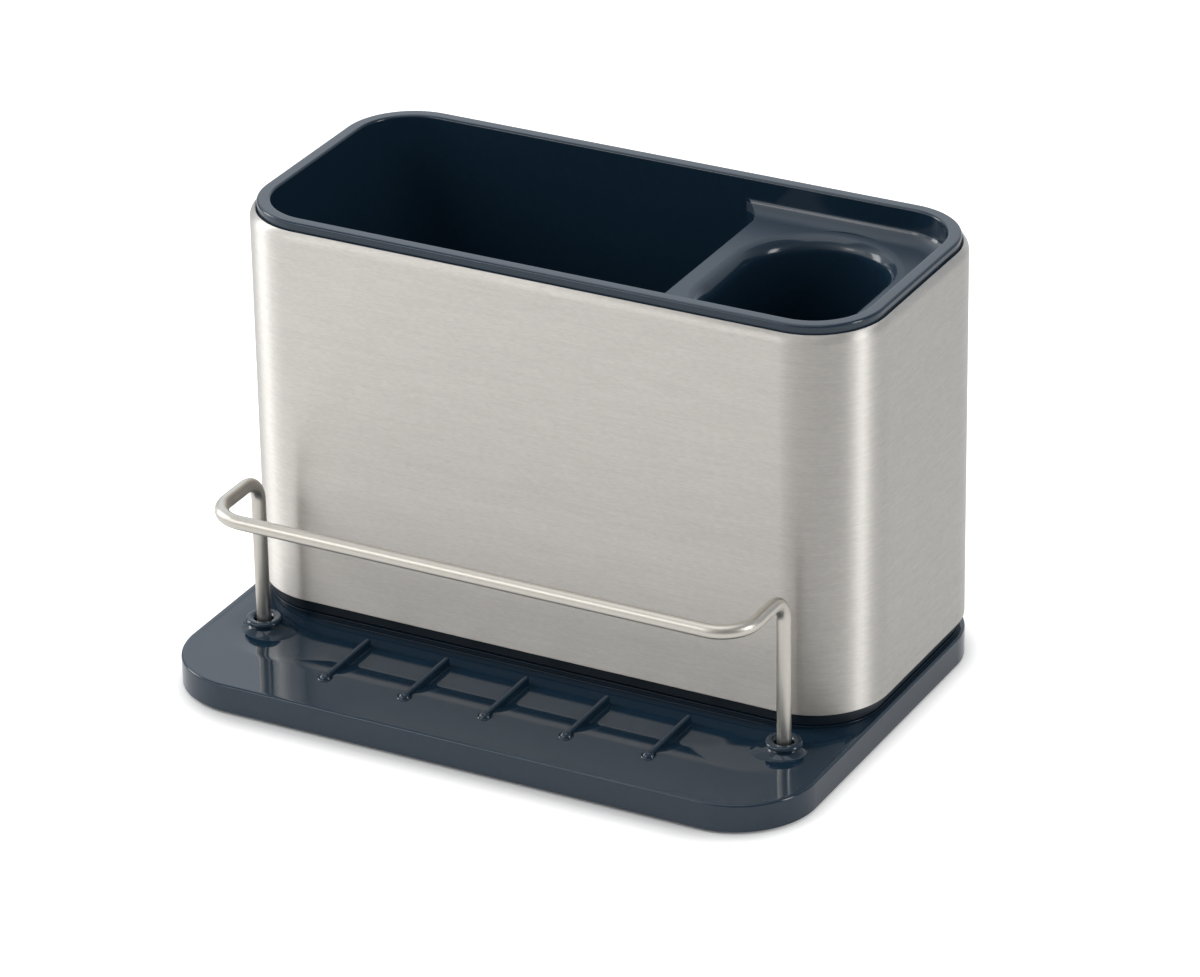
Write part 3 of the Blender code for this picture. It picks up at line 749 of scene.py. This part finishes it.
class TIDY_OT_liner_deck(bpy.types.Operator):
    """Deck, divider and round-ended cup at the liner's right end"""

    bl_idname = "tidy.liner_deck"
    bl_label = "Liner Deck and Cup"

    def execute(self, context):
        sizes = context.scene.tidy_sizes
        low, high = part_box("inner_liner")
        x0, x1, y0, y1 = liner_box(sizes)
        deck = high.z - sizes.deck_drop
        divider = x1 - sizes.deck_length
        floor = low.z + sizes.liner_wall
        block = self.make_block(sizes, deck, divider, floor)
        front_left = (x0 - BITE, y0 - BITE, floor - OVERRUN)
        tool = start_block("compartment", front_left, (divider, y1 + BITE, high.z))
        round_uprights(sizes.divider_fillet + BITE, BEND_STEPS, lambda spot: spot.x > 0)
        close_mesh()
        carve(block, tool)
        carve(block, self.make_cup(sizes, deck, floor, high.z))
        tidy_normals(block)
        bpy.ops.object.mode_set(mode="EDIT")
        sharp = 1.2
        pick("EDGE", lambda edge: level(deck, 2 * TOUCH)(edge) and abs(edge.calc_face_angle(0)) > sharp)
        bevel(sizes.deck_edge, FINE_STEPS)
        close_mesh()
        hand_over(block, "liner", "inner_liner", "liner_plastic", deck_painted_light_plastic(context))
        return {"FINISHED"}

    def make_block(self, sizes, deck, divider, floor):
        """Block under the deck, whose top rises in a hollow to the liner's walls."""
        x0, x1, y0, y1 = liner_box(sizes)
        embed, cove, edge = sizes.deck_embed, sizes.deck_cove, sizes.cove_edge
        steep = radians(70)
        top = deck + cove * (1 - cos(steep))
        start = divider - 3 * sizes.divider_fillet
        block = start_block("liner_deck", (start, y0 - embed, floor - embed), (x1 + embed, y1 + embed, top))
        radius = sizes.corner_radius - liner_inset() - sizes.rim_width + embed
        round_uprights(radius, CORNER_STEPS, lambda spot: spot.x > divider)
        steps = FILLET_STEPS + 1
        hollow = arc(edge + cove * sin(steep), deck + cove, cove, -QUARTER - steep, -QUARTER, steps)
        draw_face(top, [(-embed, top), (edge / 2, top + edge / 8)] + hollow)
        close_mesh()
        return block

    def make_cup(self, sizes, deck, floor, top):
        """Round-ended cutter that flares to the cup's lip at the deck."""
        lip = sizes.cup_lip
        x, y = cup_centre(sizes)
        half_x, half_y = sizes.cup_width / 2 + lip, sizes.cup_length / 2 + lip
        flare = deck + 3 * TOUCH
        tool = start_block("cup", (x - half_x, y - half_y, flare), (x + half_x, y + half_y, top))
        round_uprights(half_x - TOUCH)
        draw_face(flare, arc(0, flare - lip, lip, QUARTER, 0, ROLL_STEPS) + [(lip, floor - OVERRUN)])
        close_mesh()
        return tool


class TIDY_OT_tray_dish(bpy.types.Operator):
    """Dished tray with a rounded edge, a hollow back, the seat's pocket and two holes for the rail"""

    bl_idname = "tidy.tray_dish"
    bl_label = "Tray Dish"

    def execute(self, context):
        sizes = context.scene.tidy_sizes
        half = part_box("drip_tray")[1]
        low, edge, floor = tray_levels(sizes)
        dish = start_inside("drip_tray", "tray_dish", 0, low, edge, sizes.tray_corner)
        pick("EDGE", level(edge))
        bevel(sizes.tray_round, FINE_STEPS)
        rings = self.dish_rings(sizes, edge, floor)
        draw_face(edge, [(sizes.tray_round, edge), rings[0][1:]])
        draw_rings(rings, half.x, half.y, sizes.dish_pivot)
        pocket_floor = floor - sizes.pocket_depth
        under = pocket_floor - sizes.tray_floor
        draw_face(low, [(0, low), (sizes.tray_skirt, low), (sizes.tray_skirt, under)])
        close_mesh()
        inset = sizes.seat_inset + sizes.seat_ledge - sizes.pocket_lap
        bottom, corner = pocket_floor - BITE, sizes.corner_radius
        pocket = start_inside("steel_sleeve", "pocket", inset, bottom, edge + OVERRUN, corner)
        close_mesh()
        carve(dish, pocket)
        side, _, leg_y, _, _ = rail_places(sizes)
        radius = sizes.socket_bore + 2 * BITE
        for x in (-side, side):
            hole = start_disc("leg_hole", x, leg_y, under - OVERRUN, radius, 3 * BEND_STEPS)
            pull((0, 0, 3 * OVERRUN))
            close_mesh()
            tidy_normals(hole)
            carve(dish, hole)
        hand_over(dish, *TRAY, tray_plastic(context))
        return {"FINISHED"}

    def dish_rings(self, sizes, edge, floor):
        """End inset, front inset and height of the dish's rings, from the border down to the floor."""
        border = 2 * sizes.tray_round
        start = edge - 0.01 * sizes.dish_depth
        slope_top = edge - 0.06 * sizes.dish_depth
        soft_share = 0.16
        rings = [(border, border, start)]
        border_steps, slope_steps = 6, 24
        for step in range(1, border_steps + 1):
            share = step / border_steps
            end = border + share * (sizes.dish_side - border)
            front = border + share * (sizes.dish_border - border)
            rings.append((end, front, start - share * (start - slope_top)))
        for step in range(1, slope_steps + 1):
            share = step / slope_steps
            end = sizes.dish_side + share * sizes.dish_end_run
            front = sizes.dish_border + share * sizes.dish_run
            rings.append((end, front, slope_top - blend(share, soft_share) * (slope_top - floor)))
        return rings


class TIDY_OT_tray_seat(bpy.types.Operator):
    """Raised seat for the caddy round the tray's pocket"""

    bl_idname = "tidy.tray_seat"
    bl_label = "Tray Seat"

    def execute(self, context):
        sizes = context.scene.tidy_sizes
        low, edge, floor = tray_levels(sizes)
        fillet, lip, ledge = sizes.seat_fillet, sizes.seat_lip, sizes.seat_ledge
        top = floor + sizes.seat_rise
        start = floor - BITE
        pocket_floor = floor - sizes.pocket_depth
        under, inset = pocket_floor - sizes.tray_floor / 2, sizes.seat_inset - fillet
        seat = start_inside("steel_sleeve", "tray_seat", inset, under, start, sizes.corner_radius)
        blunt = 0.1
        section = [(-fillet, start)]
        section += arc(-fillet, floor + fillet, fillet, blunt - QUARTER, -blunt, FILLET_STEPS)
        section += arc(lip, top - lip, lip, pi, QUARTER, EDGE_STEPS)
        section += [(ledge, top), (ledge, pocket_floor)]
        draw_face(start, section)
        close_mesh()
        inset, corner = sizes.tray_round, sizes.tray_corner
        tool = start_inside("drip_tray", "trim", inset, low, edge + OVERRUN, corner)
        close_mesh()
        carve(seat, tool, "INTERSECT")
        hand_over(seat, *TRAY, seat_painted_shade_plastic(context))
        return {"FINISHED"}


class TIDY_OT_tray_ribs(bpy.types.Operator):
    """Drying ribs across the dish, each with a domed knob at its front end"""

    bl_idname = "tidy.tray_ribs"
    bl_label = "Tray Ribs"

    def execute(self, context):
        sizes = context.scene.tidy_sizes
        floor = tray_levels(sizes)[2]
        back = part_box("steel_sleeve")[0].y - sizes.rib_gap
        nose = back - sizes.rib_length + sizes.knob_radius
        flare = sizes.rib_flare
        half = sizes.rib_width / 2
        low = floor - 3 * BITE
        front_left = (-half - flare, nose - half - flare, low)
        rib = start_block("tray_rib_1", front_left, (half + flare, back + flare, floor))
        round_uprights(half + flare - TOUCH, ROLL_STEPS)
        crown = half * 0.75
        top = floor + sizes.rib_height
        section = [(0, floor)]
        section += arc(0, floor + flare, flare, -QUARTER, 0, EDGE_STEPS)[1:]
        section += arc(flare + crown, top - crown, crown, pi, QUARTER, EDGE_STEPS)
        draw_face(floor, section)
        close_mesh()
        carve(rib, self.make_knob(sizes, nose, low, top + sizes.knob_rise), "UNION")
        for index in range(sizes.rib_count - 1, -1, -1):
            shift = ((index - (sizes.rib_count - 1) / 2) * sizes.rib_pitch, 0, 0)
            if index:
                piece = copy_piece(rib, f"tray_rib_{index + 1}", shift)
            else:
                piece = rib
                move_mesh(rib, shift)
            hand_over(piece, *TRAY, tray_plastic(context))
        return {"FINISHED"}

    def make_knob(self, sizes, nose, low, dome_top):
        """Domed knob on a flared foot."""
        knob, flare = sizes.knob_radius, 2 * sizes.rib_flare
        ground = tray_levels(sizes)[1] - sizes.knob_sink
        foot = start_disc("knob", 0, nose, low, knob + flare, CORNER_STEPS)
        pull((0, 0, ground - low))
        # Angles by which the foot's hollow and the dome stop short of a whole quarter
        blunt, waist, tip = 0.1, 0.5, 0.15
        section = [(0, ground)]
        section += arc(0, ground + flare, flare, blunt - QUARTER, -waist, EDGE_STEPS)
        section += arc(flare + knob, dome_top - knob, knob, pi - blunt, QUARTER + tip, FILLET_STEPS)
        draw(section)
        close_mesh()
        tidy_normals(foot)
        return foot


class TIDY_OT_rail_sockets(bpy.types.Operator):
    """Flared collars that hold the towel rail"""

    bl_idname = "tidy.rail_sockets"
    bl_label = "Rail Sockets"

    # Radius and height over the foot of the flare and of the neck that leans out to the brim,
    # and distance out from the bore and depth of its mouth
    flare = (
        (0.0122, -0.0009), (0.0110, -0.0004), (0.0100, -0.0001), (0.0092, 0.00008), (0.0085, 0.00025),
        (0.0079, 0.00045), (0.0073, 0.00075), (0.0067, 0.0011), (0.0061, 0.0015), (0.0057, 0.00185),
        (0.0055, 0.00215),
    )
    neck = ((0.00555, 0.00235), (0.0058, 0.0025), (0.0062, 0.00265), (0.00645, 0.0028), (0.0065, 0.00295))
    mouth = ((0.0012, 0.00008), (0.0006, 0.0004), (0.0002, 0.0009), (0.0, 0.0015))

    def execute(self, context):
        sizes = context.scene.tidy_sizes
        foot = tray_levels(sizes)[2] + sizes.socket_base
        side, _, y, _, _ = rail_places(sizes)
        top = foot + sizes.socket_height
        low = foot - sizes.socket_root
        widest, start = self.flare[0]
        socket = start_disc("rail_socket_left", -side, y, low, widest, 2 * CORNER_STEPS)
        pull((0, 0, foot + start - low))
        draw([(widest - radius, foot + height) for radius, height in self.flare])
        for (radius, height), (wider, higher) in zip(self.flare[-1:] + self.neck, self.neck):
            pull((0, 0, higher - height))
            ratio = wider / radius
            bpy.ops.transform.resize(value=(ratio, ratio, 1), center_override=(-side, y, 0))
        brim, brim_height = self.neck[-1]
        edge = sizes.socket_edge
        bore = brim - sizes.socket_bore
        section = [(0, foot + brim_height)] + arc(edge, top - edge, edge, pi, QUARTER, EDGE_STEPS)
        section += [(bore - out, top - down) for out, down in self.mouth]
        draw(section + [(bore, top - sizes.socket_depth)])
        boss = widest - sizes.socket_bore - sizes.boss_wall
        draw_face(low, [(0, low), (boss, low), (boss, top - sizes.socket_depth - sizes.boss_floor)])
        close_mesh()
        tidy_normals(socket)
        twin = copy_piece(socket, "rail_socket_right", (2 * side, 0, 0))
        for piece in (socket, twin):
            hand_over(piece, *TRAY, tray_plastic(context))
        return {"FINISHED"}


class TIDY_OT_towel_rail(bpy.types.Operator):
    """Towel rail bent from one wire"""

    bl_idname = "tidy.towel_rail"
    bl_label = "Towel Rail"

    def execute(self, context):
        sizes = context.scene.tidy_sizes
        side, front, back, low, top = rail_places(sizes)
        upper, corner = sizes.rail_top_bend, sizes.rail_corner_bend
        rail = start_disc("towel_wire", -side, back, low, sizes.wire_radius, CORNER_STEPS)
        pull((0, 0, top - upper - low))
        turn((-side, back - upper, top - upper), (1, 0, 0), 1)
        pull((0, front - back + upper + corner, 0))
        turn((-side + corner, front + corner, top), (0, 0, 1), 1)
        pull((2 * side - 2 * corner, 0, 0))
        turn((side - corner, front + corner, top), (0, 0, 1), 1)
        pull((0, back - front - upper - corner, 0))
        turn((side, back - upper, top - upper), (1, 0, 0), -1)
        pull((0, 0, low - top + upper))
        close_mesh()
        tidy_normals(rail)
        ease_edges(rail, sizes.wire_radius / 6, radians(60))
        wire = finish_named("drawn_wire", drawn_wire, context.scene.tidy_colours.wire)
        hand_over(rail, "rail", "towel_rail", "wire_steel", wire)
        return {"FINISHED"}


class TIDY_OT_rubber_feet(bpy.types.Operator):
    """Rubber finish for the feet, whose shapes the frame brings"""

    bl_idname = "tidy.rubber_feet"
    bl_label = "Rubber Feet"

    def execute(self, context):
        rubber = finish_named("matt_rubber", matt_rubber, context.scene.tidy_colours.rubber)
        for name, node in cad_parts.items():
            if name.startswith("foot_"):
                node.data.materials.clear()
                node.data.materials.append(rubber)
        return {"FINISHED"}


# Stage

# Soft boxes that face the tidy: name, place, width and height, and power
BOXES = (
    ("left_box", (-1.08, -0.12, 0.48), (0.34, 0.6), 3.2),
    ("front_box", (-0.66, -0.89, 0.72), (0.9, 0.45), 0.95),
    ("front_core", (-0.55, -0.94, 0.74), (0.28, 0.22), 0.62),
    ("right_box", (1.14, 0.04, 0.48), (0.26, 0.6), 3.4),
    ("top_box", (-0.1, 0.0, 1.5), (1.3, 1.1), 5.0),
)
BOX_TARGET = Vector((0, 0.02, 0.07))

# The room's brightness by the upward part of a direction, from the horizon to straight up
WALL_STOPS = ((0.0, 0.35), (0.07, 0.35), (0.13, 1.0), (0.58, 1.0), (0.76, 0.5), (1.0, 0.45))
# Its level in the middle, and what a step to the right adds at the front and at the back
ROOM_LEVEL = 0.89
ROOM_SLOPES = (-0.36, -0.8)
# Darker parts of the room: heading, nearness to it at which they start, and depth
ROOM_DIPS = (((0.45, -0.893, 0), 0.5, 0.5), ((-0.906, 0.423, 0), 0.8, 0.9))
# Share of the room's light that falls on matt surfaces, and the room's tints as mirrored
MATT_SHARE = 0.8
FRONT_TINT = (1.0, 0.98, 0.95)
BACK_TINT = (0.94, 1.0, 1.07)

# The floor, and its own glow: near the tray, away from it, the run between them, and as mirrored
FLOOR_WIDTH = 12
GLOW_NEAR = 0.02
GLOW_FAR = 0.7
GLOW_RUN = 0.017
GLOW_MIRRORED = 0.25
GLOW_INSET = 0.008

# The camera that the photograph was taken with: turn, rise and roll, distance, target and lens
CAMERA_ANGLES = (radians(28.21), radians(26.49), radians(-0.99))
CAMERA_DISTANCE = 2.0413
CAMERA_TARGET = Vector((0.01342, -0.00415, 0.07277))
FOCAL_PIXELS = 6007.34
PHOTO_WIDTH_PIXELS = 1200
SENSOR_WIDTH_MM = 36


def add_soft_box(name, place, size, power):
    """A soft box that faces the tidy."""
    lamp = bpy.data.lights.new(name, "AREA")
    lamp.shape = "RECTANGLE"
    lamp.size, lamp.size_y = size
    lamp.energy = power
    holder = bpy.data.objects.new(name, lamp)
    holder.location = place
    holder.rotation_euler = (BOX_TARGET - Vector(place)).to_track_quat("-Z", "Y").to_euler()
    bpy.context.scene.collection.objects.link(holder)


class TIDY_OT_stage(bpy.types.Operator):
    """White floor, soft studio light and the camera"""

    bl_idname = "tidy.stage"
    bl_label = "Stage"

    def execute(self, context):
        scene = context.scene
        scene.view_settings.view_transform = "Standard"
        self.make_floor(context)
        self.make_world(scene)
        for box in BOXES:
            add_soft_box(*box)
        self.make_camera(scene)
        return {"FINISHED"}

    def make_floor(self, context):
        """A wide plain floor that shows as white and keeps the tidy's shadow."""
        bpy.ops.mesh.primitive_plane_add(size=FLOOR_WIDTH, location=(0, 0, 0))
        floor = context.object
        floor.name = "floor"
        finish = Finish("floor_white", context.scene.tidy_colours.floor)
        finish.set("Roughness", 0.9)
        path = finish.add("ShaderNodeLightPath").outputs
        corner = context.scene.tidy_sizes.tray_corner
        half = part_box("drip_tray")[1]
        middle = (half.x - corner - GLOW_INSET, half.y - corner, 0)
        beyond = finish.vectors("SUBTRACT", finish.vectors("ABSOLUTE", finish.place), middle)
        outside = finish.vectors("MAXIMUM", beyond)
        reach = finish.vectors("LENGTH", outside, result="Value")
        glow = finish.span(
            reach, corner, corner + GLOW_RUN, GLOW_NEAR, GLOW_FAR, interpolation_type="SMOOTHSTEP"
        )
        mirrored = finish.maths("MULTIPLY", path["Is Glossy Ray"], GLOW_MIRRORED)
        strength = finish.maths("MULTIPLY_ADD", path["Is Camera Ray"], glow, mirrored)
        white = finish.add("ShaderNodeEmission", {"Color": (1, 1, 1, 1), "Strength": strength})
        both = finish.add("ShaderNodeAddShader", {0: finish.shader.outputs[0], 1: white.outputs[0]})
        output = next(node for node in finish.tree.nodes if node.type == "OUTPUT_MATERIAL")
        finish.put(both.outputs[0], output.inputs["Surface"])
        floor.data.materials.append(finish.material)

    def make_world(self, scene):
        """A light room, brighter to the left and dim along the horizon, that shows as white itself."""
        world = bpy.data.worlds.new("studio")
        world.use_nodes = True
        room = NodeBuilder(world.node_tree)
        heading = room.add("ShaderNodeTexCoord").outputs["Generated"]
        parts = room.add("ShaderNodeSeparateXYZ", {"Vector": heading}).outputs
        path = room.add("ShaderNodeLightPath").outputs
        wall = room.add("ShaderNodeValToRGB", {"Fac": parts["Z"]})
        stops = wall.color_ramp.elements
        stops.remove(stops[-1])
        for spot, _ in WALL_STOPS[1:]:
            stops.new(spot)
        for stop, (_, tone) in zip(stops, WALL_STOPS):
            stop.color = (tone, tone, tone, 1)
        slope = room.span(parts["Y"], -1, 1, *ROOM_SLOPES)
        light = room.maths("MULTIPLY_ADD", parts["X"], slope, ROOM_LEVEL)
        for centre, start, depth in ROOM_DIPS:
            nearness = room.vectors("DOT_PRODUCT", heading, centre, result="Value")
            dip = room.span(nearness, start, 1, 0, depth, interpolation_type="SMOOTHSTEP")
            light = room.maths("SUBTRACT", light, dip)
        light = room.maths("MULTIPLY", wall.outputs["Color"], light)
        light = room.maths("MULTIPLY", light, room.span(path["Is Glossy Ray"], 0, 1, MATT_SHARE, 1))
        tint = room.mix(room.span(parts["Y"], -1, 1, 0, 1), opaque(FRONT_TINT), opaque(BACK_TINT), "RGBA")
        tint = room.mix(path["Is Glossy Ray"], (1, 1, 1, 1), tint, "RGBA")
        background = world.node_tree.nodes["Background"].inputs
        room.put(room.mix(path["Is Camera Ray"], light, 1.0), background["Strength"])
        room.put(tint, background["Color"])
        scene.world = world

    def make_camera(self, scene):
        """The camera at the photograph's place and angle."""
        swing, rise, roll = CAMERA_ANGLES
        data = bpy.data.cameras.new("photo_camera")
        data.sensor_width = SENSOR_WIDTH_MM
        data.lens = SENSOR_WIDTH_MM * FOCAL_PIXELS / PHOTO_WIDTH_PIXELS
        camera = bpy.data.objects.new("photo_camera", data)
        turned = Matrix.Rotation(swing, 4, "Z") @ Matrix.Rotation(QUARTER - rise, 4, "X")
        turned = turned @ Matrix.Rotation(roll, 4, "Z")
        stand = Matrix.Translation((0, 0, CAMERA_DISTANCE))
        camera.matrix_world = Matrix.Translation(CAMERA_TARGET) @ turned @ stand
        scene.collection.objects.link(camera)
        scene.camera = camera


STEPS = (
    TIDY_OT_stage,
    TIDY_OT_tray_dish,
    TIDY_OT_tray_seat,
    TIDY_OT_tray_ribs,
    TIDY_OT_rail_sockets,
    TIDY_OT_rubber_feet,
    TIDY_OT_towel_rail,
    TIDY_OT_steel_sleeve,
    TIDY_OT_caddy_base,
    TIDY_OT_liner_shell,
    TIDY_OT_liner_deck,
)


class TIDY_PT_build(bpy.types.Panel):
    """Sizes, colours and build steps of the sink tidy"""

    bl_label = "Sink Tidy"
    bl_idname = "TIDY_PT_build"
    bl_space_type = "VIEW_3D"
    bl_region_type = "UI"
    bl_category = "Sink Tidy"

    def draw(self, context):
        layout = self.layout
        for step in STEPS:
            layout.operator(step.bl_idname)
        for group in (context.scene.tidy_colours, context.scene.tidy_sizes):
            column = layout.column()
            for key in group.__annotations__:
                column.prop(group, key)


CLASSES = (TidySizes, TidyColours, *STEPS, TIDY_PT_build)


def register():
    """Make the classes and settings known to Blender."""
    for item in CLASSES:
        bpy.utils.register_class(item)
    bpy.types.Scene.tidy_sizes = PointerProperty(type=TidySizes)
    bpy.types.Scene.tidy_colours = PointerProperty(type=TidyColours)


def unregister():
    """Take the classes and settings away again."""
    del bpy.types.Scene.tidy_colours
    del bpy.types.Scene.tidy_sizes
    for item in reversed(CLASSES):
        bpy.utils.unregister_class(item)


def main():
    """Build every piece."""
    register()
    for step in STEPS:
        getattr(bpy.ops.tidy, step.bl_idname.split(".")[1])()


if __name__ == "__main__":
    main()
